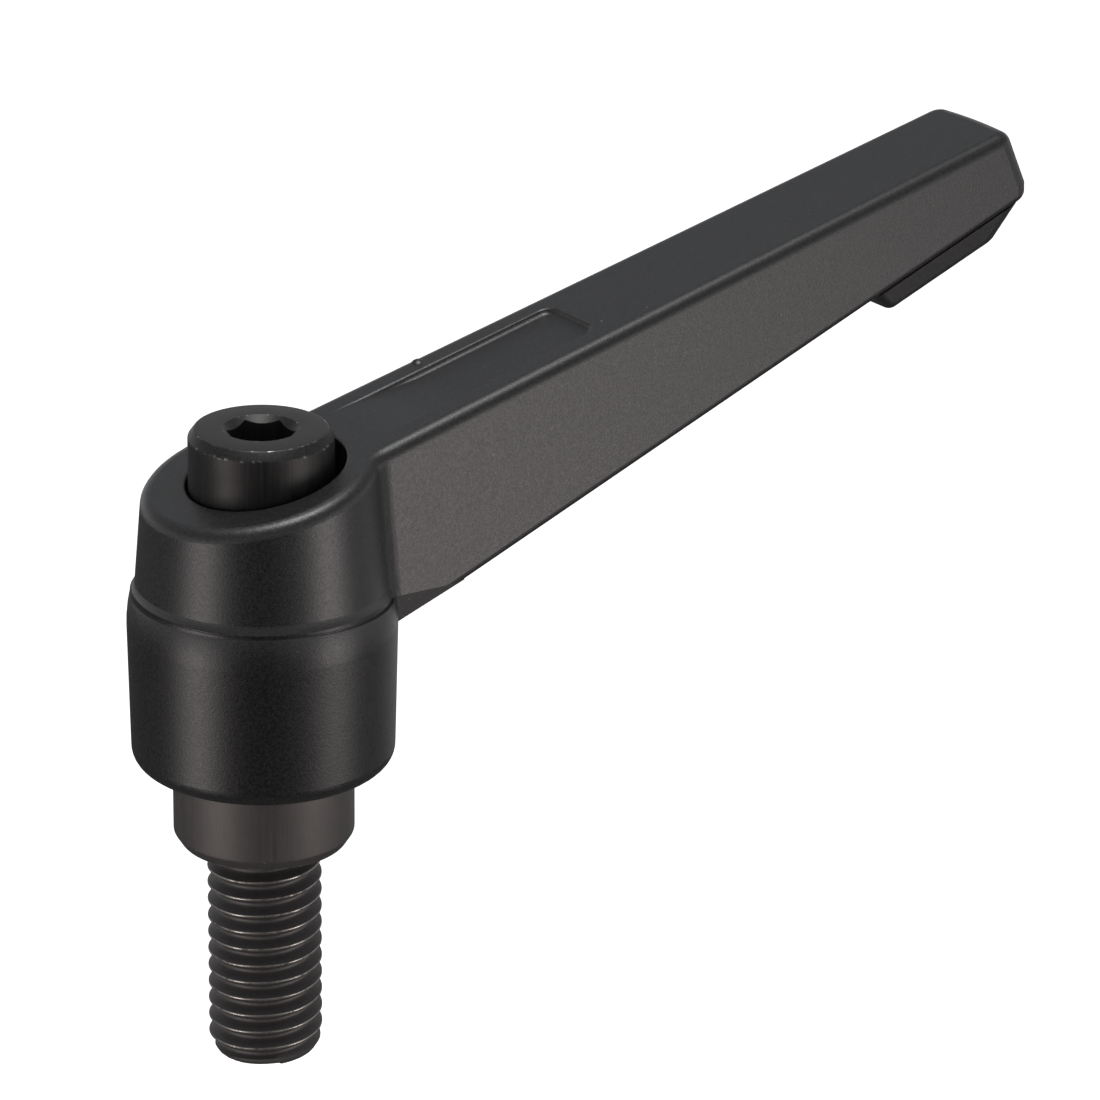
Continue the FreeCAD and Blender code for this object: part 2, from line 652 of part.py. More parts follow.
def lever_casting():
    """Hub and arm in one casting, with its bores, pocket, panel, nib and parting groove."""
    body = upper_casting().fuse([upper_foot_flare(), lower_barrel(), gusset(), lug()]).removeSplitter()
    body = body.cut(cylinder(POCKET_RADIUS, WEB_TOP, BEYOND, POCKET_SHIFT))
    rim = []
    for edge in body.Edges:
        across = middle_of(edge).distanceToPoint(Vector(POCKET_SHIFT, 0, middle_of(edge).z))
        if abs(across - POCKET_RADIUS) < SAME and lies_on(edge, top_height):
            rim.append(edge)
    body = body.makeFillet(POCKET_EDGE_ROUND, rim)
    body = body.cut([sunk_panel(), parting_groove(), insert_bore()])
    return body.fuse(vent_nib())


os.makedirs("parts", exist_ok=True)
make_stud_insert().exportStep("parts/stud_insert.step")
make_retaining_screw().exportStep("parts/retaining_screw.step")
make_return_spring().exportStep("parts/return_spring.step")
lever_casting().exportStep("parts/lever_body.step")
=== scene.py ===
"""Adjustable clamping lever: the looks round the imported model, in its own frame and in metres.

Lengths below are in millimetres. They are turned into metres where something is made or placed.
"""
import math

import bmesh
import bpy
from mathutils import Matrix, Vector


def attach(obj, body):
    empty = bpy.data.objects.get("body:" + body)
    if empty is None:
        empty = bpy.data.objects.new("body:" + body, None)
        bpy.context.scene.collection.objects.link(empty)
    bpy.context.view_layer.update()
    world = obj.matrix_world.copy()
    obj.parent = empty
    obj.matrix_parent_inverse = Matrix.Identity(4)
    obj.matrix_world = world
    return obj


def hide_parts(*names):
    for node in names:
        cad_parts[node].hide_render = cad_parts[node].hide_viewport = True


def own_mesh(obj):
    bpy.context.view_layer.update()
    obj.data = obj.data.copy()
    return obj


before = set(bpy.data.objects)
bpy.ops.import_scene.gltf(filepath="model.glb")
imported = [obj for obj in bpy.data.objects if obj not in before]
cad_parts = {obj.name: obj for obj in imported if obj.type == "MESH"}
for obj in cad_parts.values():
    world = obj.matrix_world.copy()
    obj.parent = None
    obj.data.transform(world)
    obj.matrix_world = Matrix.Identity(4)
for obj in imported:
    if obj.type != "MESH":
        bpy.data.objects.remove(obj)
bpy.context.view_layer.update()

MM = 0.001

# Camera, as the photograph was taken
CAMERA_PLACE = (-186.735, -284.590, 157.172)
CAMERA_HEADING = -36.5
CAMERA_TILT = 21.811
CAMERA_ROLL = 0.740
CAMERA_LENS = 180.0
SENSOR_WIDTH = 36.0
CLIP_NEAR = 10.0
CLIP_FAR = 20000.0

# Floor and surroundings
FLOOR_HEIGHT = -220.0
FLOOR_PROFILE = (
    (20.0, 0.0),
    (1600.0, 0.0),
    (1750.0, 20.0),
    (1870.0, 80.0),
    (1950.0, 180.0),
    (1980.0, 300.0),
    (2000.0, 900.0),
)
FLOOR_SIDES = 96
FLOOR_TONES = ((0.84, 0.84, 0.84, 1.0), (0.86, 0.86, 0.86, 1.0))
FLOOR_ROUGHNESS = 0.9
FLOOR_NOISE_SCALE = 3.0
FLOOR_GLOW = 0.60
BACKGROUND_GLOW = 0.30
WORLD_LEVEL = 0.355
WORLD_COLOUR = (0.93, 0.96, 1.02, 1.0)

# Softboxes. Left and right: heading from the camera's side, height over the origin, width, own height, strength
SOFTBOX_REACH = 450.0
SOFTBOX_TARGET = (0, 0, 10)
SOFTBOX_COLOUR = (1.0, 0.92, 0.90)
LEFT_SOFTBOX = (-53, -135, 205, 160, 6.8)
RIGHT_SOFTBOX = (65, -94, 190, 138, 7.45)
TOP_SOFTBOX_PLACE = (12, -15, 320)
TOP_SOFTBOX_TARGET = (20, 0, 20)
TOP_SOFTBOX_SIZE = 130
TOP_SOFTBOX_STRENGTH = 15.5

# Dark cards that only reflections see. HALF is half the width and height, TONE the share of light given back
FRONT_CARD_REACH = 260.0
FRONT_CARD_HEIGHT = -90.0
FRONT_CARD_HALF = (110.0, 150.0)
FRONT_CARD_TONE = 0.005
CARD_SPREAD = (0.9, 1.1)
CARD_NOISE_SCALE = 40.0
CARD_LIFT = 5.0
CARD_TURN = 23.5
TABLE_CARD_EDGE = 540.0
TABLE_CARD_HALF = (1000.0, 1200.0)
TABLE_CARD_TONE = 0.2
FAR_CARD_EDGE = 830.0
FAR_CARD_HALF = (450.0, 1200.0)
FAR_CARD_TONE = 0.1

# Turned pieces: points in each ring, steps in a corner's arc, and the most it takes of each side
COLUMNS = 144
ARC_STEPS = 3
ARC_SHARE = 0.45

# Stud insert
STUD_RADIUS = 3.9
STUD_FOOT = -15.75
STUD_FOOT_RIM = 0.25
STUD_POINT_RADIUS = 3.37
STUD_POINT_TOP = -14.88
THREAD_PITCH = 1.25
THREAD_START = -2.59
UNDERCUT_RADIUS = 3.15
UNDERCUT_FOOT = -0.62
UNDERCUT_TOP = -0.34
COLLAR_RADIUS = 6.15
COLLAR_CHAMFER = (0.50, 0.78)
COLLAR_TOP = 10.70
COLLAR_ARC = 0.10
SPLINE_TOP = 14.60
SPLINE_COUNT = 24
SPLINE_TIP_RADIUS = 6.0
SPLINE_ROOT_RADIUS = 5.4
SPLINE_TIP_REACH = 0.12
SPLINE_ROOT_REACH = 0.31
SPLINE_FOOT_RELIEF = 0.1
SPLINE_CHAMFER = 0.15
TAPPED_RADIUS = 2.45
TAPPED_FOOT = 6.6
TAPPED_CHAMFER = 0.3

# Retaining screw
SCREW_FOOT = 7.6
SCREW_POINT_SHARE = 0.8
SCREW_THREAD_RADIUS = 2.4
SCREW_THREAD_PITCH = 0.8
SCREW_THREAD_TOP = 14.2
SCREW_RUNOUT_SLOPE = 1.5
SHANK_RADIUS = 3.0
HEAD_SEAT = 24.74
HEAD_TOP = 29.60
HEAD_RADIUS = 4.87
HEAD_CHAMFER = (0.43, 0.58)
HEAD_ARC = 0.09
SOCKET_FLATS = 4.0
SOCKET_TURN = 24.2
SOCKET_MOUTH_RADIUS = 2.55
SOCKET_MOUTH_DEPTH = 0.44
SOCKET_RIM = 0.3
SOCKET_DEPTH = 2.55
SOCKET_DRILL_DEPTH = 0.5

# Return spring
SPRING_LOW = 17.02
SPRING_HIGH = 24.72
SPRING_WIRE = 0.8
SPRING_MEAN_RADIUS = 4.25
SPRING_CLOSED_TURNS = 0.9
SPRING_ACTIVE_TURNS = 2.2
WIRE_SIDES = 12
WIRE_STATIONS = 48

# Thread form: (share of the pitch from the crest, share of the pitch below the crest)
THREAD_HALF_FORM = (
    (0.0, 0.0),
    (0.040, 0.005),
    (0.070, 0.022),
    (0.092, 0.052),
    (0.230, 0.290),
    (0.350, 0.498),
    (0.415, 0.556),
    (0.5, 0.572),
)
THREAD_SPARE_TURNS = 2
SAME_HEIGHT = 1e-9

# Mesh cleaning, and the angle in degrees from which an edge stays sharp
MERGE_DISTANCE = 0.0005
SLIVER_LENGTH = 0.0002
INSERT_SHARP_ANGLE = 38.0
SCREW_SHARP_ANGLE = 30.0
SPRING_SHARP_ANGLE = 50.0

# Powder coat on the casting. BUMP is strength and depth, here and below
COAT_DARK = (0.0040, 0.0039, 0.0038, 1.0)
COAT_LIGHT = (0.0104, 0.0100, 0.0098, 1.0)
COAT_SPECK = (0.10, 0.10, 0.10, 1.0)
COAT_GRAIN = {"Grain Scale": 7000.0, "Ripple Scale": 900.0, "Ripple Share": 0.25}
COAT_ROUGHNESS = (0.36, 0.44)
COAT_BUMP = (0.45, 0.03)

# Black finish on the turned pieces, and bright bare steel painted on their edges: partly rubbed wear, partly
# painted highlight
INSERT_DARK = (0.088, 0.082, 0.079, 1.0)
INSERT_LIGHT = (0.116, 0.108, 0.104, 1.0)
INSERT_ROUGHNESS = 0.58
SCREW_DARK = (0.023, 0.0224, 0.0218, 1.0)
SCREW_LIGHT = (0.040, 0.0388, 0.0378, 1.0)
SCREW_ROUGHNESS = 0.48
# Bright bare steel on the edges: partly rubbed wear, partly painted highlight
RUBBED_AND_HIGHLIGHT_STEEL = (0.28, 0.26, 0.24, 1.0)
RUBBED_AND_HIGHLIGHT_ROUGHNESS = 0.3
ROUGHNESS_SPREAD = 0.05
STAIN_SHARE = 0.6
BLACK_STEEL_METALLIC = 0.85
BLACK_STEEL_LINES = {"Line Scale": 7000.0, "Stretch": 0.03}
BLACK_STEEL_BUMP = (0.25, 0.01)

# Bright spring wire
WIRE_DARK = (0.30, 0.29, 0.28, 1.0)
WIRE_LIGHT = (0.42, 0.41, 0.40, 1.0)
WIRE_ROUGHNESS = (0.25, 0.38)
WIRE_LINES = {"Line Scale": 1800.0, "Stretch": 1.0}
WIRE_BUMP = (0.2, 0.01)

# Part of a noise's range that is used
MIDDLE_RANGE = (0.3, 0.7)
MOTTLE_RANGE = (0.35, 0.65)
STAIN_RANGE = (0.45, 0.75)
SPECK_RANGE = (0.0, 0.04)
RUB_AND_HIGHLIGHT_RANGE = (0.0, 0.14)

# Shares of an edge's width where its painted brightness, partly rubbed wear and partly painted highlight,
# begins and is full
RUB_AND_HIGHLIGHT_FADE = (1.0, 0.3)

# Edges painted bright, partly as rubbed wear and partly as painted highlight: (radius, height, height weight,
# width, noise level that stays black)
INSERT_EDGES = (
    (STUD_RADIUS, 0.0, 0.0, 0.035, 0.37),
    (COLLAR_RADIUS - COLLAR_CHAMFER[0], 0.0, 1.0, 0.20, 0.46),
    (COLLAR_RADIUS, COLLAR_CHAMFER[1], 1.0, 0.10, 0.56),
)
SCREW_EDGES = (
    (HEAD_RADIUS, HEAD_TOP - HEAD_CHAMFER[1], 1.0, 0.14, 0.55),
    (HEAD_RADIUS - HEAD_CHAMFER[0], HEAD_TOP, 1.0, 0.06, 0.55),
    (SOCKET_MOUTH_RADIUS, HEAD_TOP, 1.0, 0.09, 0.57),
)


def ring_at(radius, height, radius_at=None):
    """One ring of points round the Z axis; radius_at(angle) takes the radius's place where it is given."""
    points = []
    for column in range(COLUMNS):
        angle = 2 * math.pi * column / COLUMNS
        reach = radius_at(angle) if radius_at else radius
        points.append(Vector((reach * math.cos(angle), reach * math.sin(angle), height)) * MM)
    return points


def softened(profile, radius):
    """(radius, height) profile with a small arc at each of its inner corners."""
    out = [profile[0]]
    for before, corner, after in zip(profile, profile[1:], profile[2:]):
        here = Vector(corner)
        back = Vector(before) - here
        ahead = Vector(after) - here
        reach = min(radius, back.length * ARC_SHARE, ahead.length * ARC_SHARE)
        start = here + back.normalized() * reach
        end = here + ahead.normalized() * reach
        for step in range(ARC_STEPS + 1):
            t = step / ARC_STEPS
            point = start * (1 - t) ** 2 + here * 2 * t * (1 - t) + end * t ** 2
            out.append((point.x, point.y))
    out.append(profile[-1])
    return out


def add_rings(bm, rings):
    """Skin between rings of points, each closed on itself."""
    made = [[bm.verts.new(point) for point in ring] for ring in rings]
    for low, high in zip(made, made[1:]):
        for column in range(COLUMNS):
            nxt = (column + 1) % COLUMNS
            bm.faces.new((low[column], low[nxt], high[nxt], high[column]))
    return made


def close_ring(bm, ring, height):
    """Fan from a ring to a point on the axis."""
    middle = bm.verts.new(Vector((0, 0, height * MM)))
    for column in range(COLUMNS):
        bm.faces.new((ring[column], ring[(column + 1) % COLUMNS], middle))


def thread_form():
    """One whole pitch of the thread, as (share of the pitch, drop) rising along the axis."""
    lower = [(-share, drop) for share, drop in reversed(THREAD_HALF_FORM[1:])]
    return lower + list(THREAD_HALF_FORM[:-1])


def thread_root(radius, pitch):
    """Radius at the bottom of the thread's groove."""
    return radius - THREAD_HALF_FORM[-1][1] * pitch


def add_thread(bm, radius, pitch, start, low, high, limit):
    """Right-handed thread between two heights. Its grid follows the helix, so crests stay sharp."""
    form = thread_form()
    per_turn = len(form)
    first = math.floor((low - start) / pitch) - THREAD_SPARE_TURNS
    last = math.ceil((high - start) / pitch) + THREAD_SPARE_TURNS
    columns = []
    for column in range(COLUMNS):
        share = column / COLUMNS
        angle = 2 * math.pi * share
        line = []
        for turn in range(first, last):
            for place, drop in form:
                height = start + pitch * (turn + share + place)
                height = min(max(height, low), high)
                reach = min(radius - drop * pitch, limit(height))
                if height in (low, high):
                    reach = min(thread_root(radius, pitch), limit(height))
                line.append((reach * math.cos(angle), reach * math.sin(angle), height))
        columns.append(line)
    verts = [[bm.verts.new(Vector(point) * MM) for point in line] for line in columns]
    for column in range(COLUMNS):
        here = verts[column]
        nxt = verts[(column + 1) % COLUMNS]
        shift = per_turn if column == COLUMNS - 1 else 0
        for row in range(len(here) - 1):
            if row + 1 + shift >= len(nxt):
                break
            corners = (here[row], nxt[row + shift], nxt[row + 1 + shift], here[row + 1])
            if abs(corners[0].co.z - corners[3].co.z) + abs(corners[1].co.z - corners[2].co.z) > SAME_HEIGHT:
                bm.faces.new(corners)


def link_mesh(mesh, name):
    """Object for a mesh, in the scene."""
    piece = bpy.data.objects.new(name, mesh)
    bpy.context.scene.collection.objects.link(piece)
    return piece


def finish_mesh(bm, name, sharp_angle):
    """Merged, cleaned mesh object, smooth but for its sharp edges."""
    bmesh.ops.remove_doubles(bm, verts=bm.verts, dist=MERGE_DISTANCE * MM)
    bmesh.ops.dissolve_degenerate(bm, dist=SLIVER_LENGTH * MM, edges=bm.edges)
    loose = [vert for vert in bm.verts if not vert.link_faces]
    bmesh.ops.delete(bm, geom=loose, context="VERTS")
    bmesh.ops.recalc_face_normals(bm, faces=bm.faces)
    mesh = bpy.data.meshes.new(name)
    bm.to_mesh(mesh)
    bm.free()
    for polygon in mesh.polygons:
        polygon.use_smooth = True
    mesh.set_sharp_from_angle(angle=math.radians(sharp_angle))
    return link_mesh(mesh, name)


def stud_limit(height):
    """Greatest radius of the stud at a height: the point's chamfer, and the run-out into the undercut."""
    if height < STUD_POINT_TOP:
        rise = (height - STUD_FOOT) / (STUD_POINT_TOP - STUD_FOOT)
        return STUD_POINT_RADIUS + (STUD_RADIUS - STUD_POINT_RADIUS) * rise
    if height > UNDERCUT_FOOT:
        rise = (height - UNDERCUT_FOOT) / (UNDERCUT_TOP - UNDERCUT_FOOT)
        return STUD_RADIUS + (UNDERCUT_RADIUS - STUD_RADIUS) * min(rise, 1.0)
    return STUD_RADIUS


def spline_radius(angle):
    """Radius of the splined end's outline at an angle."""
    pitch = 2 * math.pi / SPLINE_COUNT
    across = abs((angle + pitch / 2) % pitch - pitch / 2) / pitch
    blend = min(max((across - SPLINE_TIP_REACH) / (SPLINE_ROOT_REACH - SPLINE_TIP_REACH), 0.0), 1.0)
    return SPLINE_TIP_RADIUS + (SPLINE_ROOT_RADIUS - SPLINE_TIP_RADIUS) * blend


def make_threaded_insert():
    """Stud with its thread, undercut, chamfered collar and splined end with the tapped hole."""
    bm = bmesh.new()
    root = thread_root(STUD_RADIUS, THREAD_PITCH)
    add_thread(bm, STUD_RADIUS, THREAD_PITCH, THREAD_START, STUD_FOOT, UNDERCUT_TOP, stud_limit)
    foot = add_rings(bm, [ring_at(root, STUD_FOOT), ring_at(root - STUD_FOOT_RIM, STUD_FOOT)])
    close_ring(bm, foot[-1], STUD_FOOT)
    radial, axial = COLLAR_CHAMFER
    profile = softened([
        (UNDERCUT_RADIUS, UNDERCUT_TOP),
        (UNDERCUT_RADIUS, 0.0),
        (COLLAR_RADIUS - radial, 0.0),
        (COLLAR_RADIUS, axial),
        (COLLAR_RADIUS, COLLAR_TOP),
        (SPLINE_ROOT_RADIUS - SPLINE_FOOT_RELIEF, COLLAR_TOP),
    ], COLLAR_ARC)
    rings = [ring_at(radius, height) for radius, height in profile]
    rings.append(ring_at(0, COLLAR_TOP, spline_radius))
    rings.append(ring_at(0, SPLINE_TOP - SPLINE_CHAMFER, spline_radius))
    rings.append(ring_at(0, SPLINE_TOP, lambda angle: spline_radius(angle) - SPLINE_CHAMFER))
    rings.append(ring_at(TAPPED_RADIUS + TAPPED_CHAMFER, SPLINE_TOP))
    rings.append(ring_at(TAPPED_RADIUS, SPLINE_TOP - TAPPED_CHAMFER))
    rings.append(ring_at(TAPPED_RADIUS, TAPPED_FOOT))
    made = add_rings(bm, rings)
    close_ring(bm, made[-1], TAPPED_FOOT)
    return finish_mesh(bm, "threaded_insert", INSERT_SHARP_ANGLE)


def socket_radius(angle):
    """Distance from the axis to the hexagon socket's wall at an angle."""
    sixth = math.pi / 3
    turned = (angle - math.radians(SOCKET_TURN)) % sixth
    return SOCKET_FLATS / 2 / math.cos(turned - sixth / 2)


def screw_limit(height):
    """Greatest radius of the screw's thread at a height: its point, and the run-out at its top."""
    root = thread_root(SCREW_THREAD_RADIUS, SCREW_THREAD_PITCH)
    from_foot = root + (height - SCREW_FOOT)
    from_top = root + (SCREW_THREAD_TOP - height) * SCREW_RUNOUT_SLOPE
    return min(SCREW_THREAD_RADIUS, from_foot, from_top)


def socket_lip(angle):
    """Point of the socket's wall where it meets the countersunk mouth."""
    reach = socket_radius(angle)
    slope = SOCKET_MOUTH_DEPTH / (SOCKET_MOUTH_RADIUS - SOCKET_FLATS / 2)
    height = HEAD_TOP - (SOCKET_MOUTH_RADIUS - reach) * slope
    return Vector((reach * math.cos(angle), reach * math.sin(angle), height)) * MM


def make_socket_screw():
    """Screw with a chamfered head, a countersunk hexagon socket, a shank and a thread."""
    bm = bmesh.new()
    root = thread_root(SCREW_THREAD_RADIUS, SCREW_THREAD_PITCH)
    add_thread(
        bm, SCREW_THREAD_RADIUS, SCREW_THREAD_PITCH, SCREW_FOOT, SCREW_FOOT, SCREW_THREAD_TOP, screw_limit)
    foot = add_rings(bm, [ring_at(root, SCREW_FOOT), ring_at(root * SCREW_POINT_SHARE, SCREW_FOOT)])
    close_ring(bm, foot[-1], SCREW_FOOT)
    radial, axial = HEAD_CHAMFER
    profile = softened([
        (root, SCREW_THREAD_TOP),
        (root, SPLINE_TOP),
        (SHANK_RADIUS, SPLINE_TOP),
        (SHANK_RADIUS, HEAD_SEAT),
        (HEAD_RADIUS, HEAD_SEAT),
        (HEAD_RADIUS, HEAD_TOP - axial),
        (HEAD_RADIUS - radial, HEAD_TOP),
        (SOCKET_MOUTH_RADIUS + SOCKET_RIM, HEAD_TOP),
    ], HEAD_ARC)
    floor = HEAD_TOP - SOCKET_DEPTH
    rings = [ring_at(radius, height) for radius, height in profile]
    rings.append(ring_at(SOCKET_MOUTH_RADIUS, HEAD_TOP))
    rings.append([socket_lip(2 * math.pi * column / COLUMNS) for column in range(COLUMNS)])
    rings.append(ring_at(0, floor, socket_radius))
    made = add_rings(bm, rings)
    close_ring(bm, made[-1], floor - SOCKET_DRILL_DEPTH)
    return finish_mesh(bm, "socket_screw", SCREW_SHARP_ANGLE)


def wire_height(turn):
    """Height of the wire's middle after a number of turns: closed end, open coils, closed end."""
    rise_active = SPRING_HIGH - SPRING_LOW - SPRING_WIRE - 2 * SPRING_CLOSED_TURNS * SPRING_WIRE
    closed_low = min(turn, SPRING_CLOSED_TURNS)
    active = min(max(turn - SPRING_CLOSED_TURNS, 0), SPRING_ACTIVE_TURNS)
    closed_high = max(turn - SPRING_CLOSED_TURNS - SPRING_ACTIVE_TURNS, 0)
    height = SPRING_LOW + SPRING_WIRE / 2 + (closed_low + closed_high) * SPRING_WIRE
    return height + rise_active * active / SPRING_ACTIVE_TURNS


def make_coil_spring():
    """Compression spring of round wire with closed, ground ends."""
    bm = bmesh.new()
    turns = 2 * SPRING_CLOSED_TURNS + SPRING_ACTIVE_TURNS
    loops = []
    for step in range(int(turns * WIRE_STATIONS) + 1):
        angle = 2 * math.pi * step / WIRE_STATIONS
        height = wire_height(step / WIRE_STATIONS)
        outward = Vector((math.cos(angle), math.sin(angle), 0))
        loop = []
        for side in range(WIRE_SIDES):
            turn = 2 * math.pi * side / WIRE_SIDES
            point = outward * (SPRING_MEAN_RADIUS + SPRING_WIRE / 2 * math.cos(turn))
            point.z = height + SPRING_WIRE / 2 * math.sin(turn)
            point.z = min(max(point.z, SPRING_LOW), SPRING_HIGH)
            loop.append(bm.verts.new(point * MM))
        loops.append(loop)
    for here, nxt in zip(loops, loops[1:]):
        for side in range(WIRE_SIDES):
            after = (side + 1) % WIRE_SIDES
            bm.faces.new((here[side], here[after], nxt[after], nxt[side]))
    bm.faces.new(loops[0])
    bm.faces.new(loops[-1])
    return finish_mesh(bm, "coil_spring", SPRING_SHARP_ANGLE)


def new_group(name, inputs, outputs):
    """Empty shader node group with its inputs, and outputs that are plain numbers."""
    group = bpy.data.node_groups.new(name, "ShaderNodeTree")
    for label, kind, value in inputs:
        socket = group.interface.new_socket(label, in_out="INPUT", socket_type=kind)
        socket.default_value = value
    for label in outputs:
        group.interface.new_socket(label, in_out="OUTPUT", socket_type="NodeSocketFloat")
    return group, group.nodes.new("NodeGroupInput"), group.nodes.new("NodeGroupOutput")


def add_node(tree, kind, values=None, settings=None):
    """Node with its settings and the constants of its inputs."""
    node = tree.nodes.new(kind)
    for key, value in (settings or {}).items():
        setattr(node, key, value)
    for key, value in (values or {}).items():
        node.inputs[key].default_value = value
    return node


def noise(tree, vector, scale, detail=2.0, roughness=0.5):
    """Noise over the surface; its scale is a number or a socket."""
    node = add_node(tree, "ShaderNodeTexNoise", {"Detail": detail, "Roughness": roughness})
    tree.links.new(vector, node.inputs["Vector"])
    if isinstance(scale, float):
        node.inputs["Scale"].default_value = scale
    else:
        tree.links.new(scale, node.inputs["Scale"])
    return node.outputs["Fac"]


def remap(tree, value, low, high, to_low=0.0, to_high=1.0):
    """Value stretched from one range to another and held inside it."""
    node = add_node(tree, "ShaderNodeMapRange", {
        "From Min": low, "From Max": high, "To Min": to_low, "To Max": to_high})
    tree.links.new(value, node.inputs["Value"])
    return node.outputs["Result"]


def math_node(tree, operation, first, second=0.0):
    """Result of one operation on two values; each is a number or a socket."""
    node = add_node(tree, "ShaderNodeMath", settings={"operation": operation})
    for slot, value in enumerate((first, second)):
        if isinstance(value, (int, float)):
            node.inputs[slot].default_value = value
        else:
            tree.links.new(value, node.inputs[slot])
    return node.outputs[0]


def mix_colour(tree, factor, first, second):
    """Blend of two colours; each is a colour or a socket."""
    node = add_node(tree, "ShaderNodeMix", settings={"data_type": "RGBA"})
    tree.links.new(factor, node.inputs[0])
    for slot, value in ((6, first), (7, second)):
        if isinstance(value, tuple):
            node.inputs[slot].default_value = value
        else:
            tree.links.new(value, node.inputs[slot])
    return node.outputs[2]


def coating_grain_group():
    """Fine grain, slow ripple, mottle and stray specks of a powder coat."""
    group, inside, outside = new_group("coating_grain", [
        ("Vector", "NodeSocketVector", (0.0, 0.0, 0.0)),
        ("Grain Scale", "NodeSocketFloat", 4200.0),
        ("Ripple Scale", "NodeSocketFloat", 700.0),
        ("Ripple Share", "NodeSocketFloat", 0.4),
        ("Mottle Scale", "NodeSocketFloat", 4500.0),
        ("Speck Scale", "NodeSocketFloat", 2600.0),
        ("Speck Level", "NodeSocketFloat", 0.80),
    ], ["Height", "Mottle", "Specks"])
    place = inside.outputs["Vector"]
    grain = noise(group, place, inside.outputs["Grain Scale"], 3.0, 0.6)
    ripple = noise(group, place, inside.outputs["Ripple Scale"], 1.0)
    share = math_node(group, "MULTIPLY", ripple, inside.outputs["Ripple Share"])
    mottle = noise(group, place, inside.outputs["Mottle Scale"], 3.0, 0.6)
    specks = noise(group, place, inside.outputs["Speck Scale"], 1.0)
    above = math_node(group, "SUBTRACT", specks, inside.outputs["Speck Level"])
    group.links.new(math_node(group, "ADD", grain, share), outside.inputs["Height"])
    group.links.new(mottle, outside.inputs["Mottle"])
    group.links.new(remap(group, above, *SPECK_RANGE), outside.inputs["Specks"])
    return group


def drawn_streaks_group():
    """Fine lines along the axis of drawn and turned bar, and a slow stain."""
    group, inside, outside = new_group("drawn_streaks", [
        ("Vector", "NodeSocketVector", (0.0, 0.0, 0.0)),
        ("Line Scale", "NodeSocketFloat", 2600.0),
        ("Stretch", "NodeSocketFloat", 0.03),
        ("Stain Scale", "NodeSocketFloat", 420.0),
    ], ["Lines", "Stain"])
    parts = group.nodes.new("ShaderNodeSeparateXYZ")
    group.links.new(inside.outputs["Vector"], parts.inputs[0])
    joined = group.nodes.new("ShaderNodeCombineXYZ")
    group.links.new(parts.outputs["X"], joined.inputs["X"])
    group.links.new(parts.outputs["Y"], joined.inputs["Y"])
    shrunk = math_node(group, "MULTIPLY", parts.outputs["Z"], inside.outputs["Stretch"])
    group.links.new(shrunk, joined.inputs["Z"])
    lines = noise(group, joined.outputs[0], inside.outputs["Line Scale"], 3.0, 0.65)
    stain = noise(group, inside.outputs["Vector"], inside.outputs["Stain Scale"], 4.0, 0.6)
    group.links.new(lines, outside.inputs["Lines"])
    group.links.new(stain, outside.inputs["Stain"])
    return group


def rubbed_and_highlight_edge_group():
    """Mask of a turned edge painted bright, partly as rubbed wear and partly as painted highlight, broken up.
    Height Weight 0 takes every height, as on a crest.
    """
    group, inside, outside = new_group("rubbed_and_highlight_edge", [
        ("Vector", "NodeSocketVector", (0.0, 0.0, 0.0)),
        ("Edge Radius", "NodeSocketFloat", 0.005),
        ("Edge Height", "NodeSocketFloat", 0.0),
        ("Height Weight", "NodeSocketFloat", 1.0),
        ("Width", "NodeSocketFloat", 0.0001),
        ("Break Scale", "NodeSocketFloat", 1500.0),
        ("Black Level", "NodeSocketFloat", 0.45),
    ], ["Mask"])
    parts = group.nodes.new("ShaderNodeSeparateXYZ")
    group.links.new(inside.outputs["Vector"], parts.inputs[0])
    squares = [math_node(group, "POWER", parts.outputs[axis], 2.0) for axis in ("X", "Y")]
    across = math_node(group, "SQRT", math_node(group, "ADD", *squares))
    outward = math_node(group, "SUBTRACT", across, inside.outputs["Edge Radius"])
    upward = math_node(group, "SUBTRACT", parts.outputs["Z"], inside.outputs["Edge Height"])
    upward = math_node(group, "MULTIPLY", upward, inside.outputs["Height Weight"])
    squares = [math_node(group, "POWER", side, 2.0) for side in (outward, upward)]
    away = math_node(group, "SQRT", math_node(group, "ADD", *squares))
    away = math_node(group, "DIVIDE", away, inside.outputs["Width"])
    near = remap(group, away, *RUB_AND_HIGHLIGHT_FADE)
    broken = noise(group, inside.outputs["Vector"], inside.outputs["Break Scale"], 4.0, 0.7)
    above = math_node(group, "SUBTRACT", broken, inside.outputs["Black Level"])
    mask = math_node(group, "MULTIPLY", near, remap(group, above, *RUB_AND_HIGHLIGHT_RANGE))
    group.links.new(mask, outside.inputs["Mask"])
    return group


def start_material(name):
    """New material with its node tree, its shader and the place on the piece."""
    material = bpy.data.materials.new(name)
    material.use_nodes = True
    tree = material.node_tree
    shader = tree.nodes["Principled BSDF"]
    place = tree.nodes.new("ShaderNodeTexCoord").outputs["Object"]
    return material, tree, shader, place


def add_bump(tree, shader, height, strength, distance):
    """Fine relief; its distance is in millimetres."""
    node = add_node(tree, "ShaderNodeBump", {"Strength": strength, "Distance": distance * MM})
    tree.links.new(height, node.inputs["Height"])
    tree.links.new(node.outputs["Normal"], shader.inputs["Normal"])


def use_group(tree, group, values, place):
    """Node group placed in a material with its own values."""
    node = add_node(tree, "ShaderNodeGroup", settings={"node_tree": group})
    for key, value in values.items():
        node.inputs[key].default_value = value
    tree.links.new(place, node.inputs["Vector"])
    return node


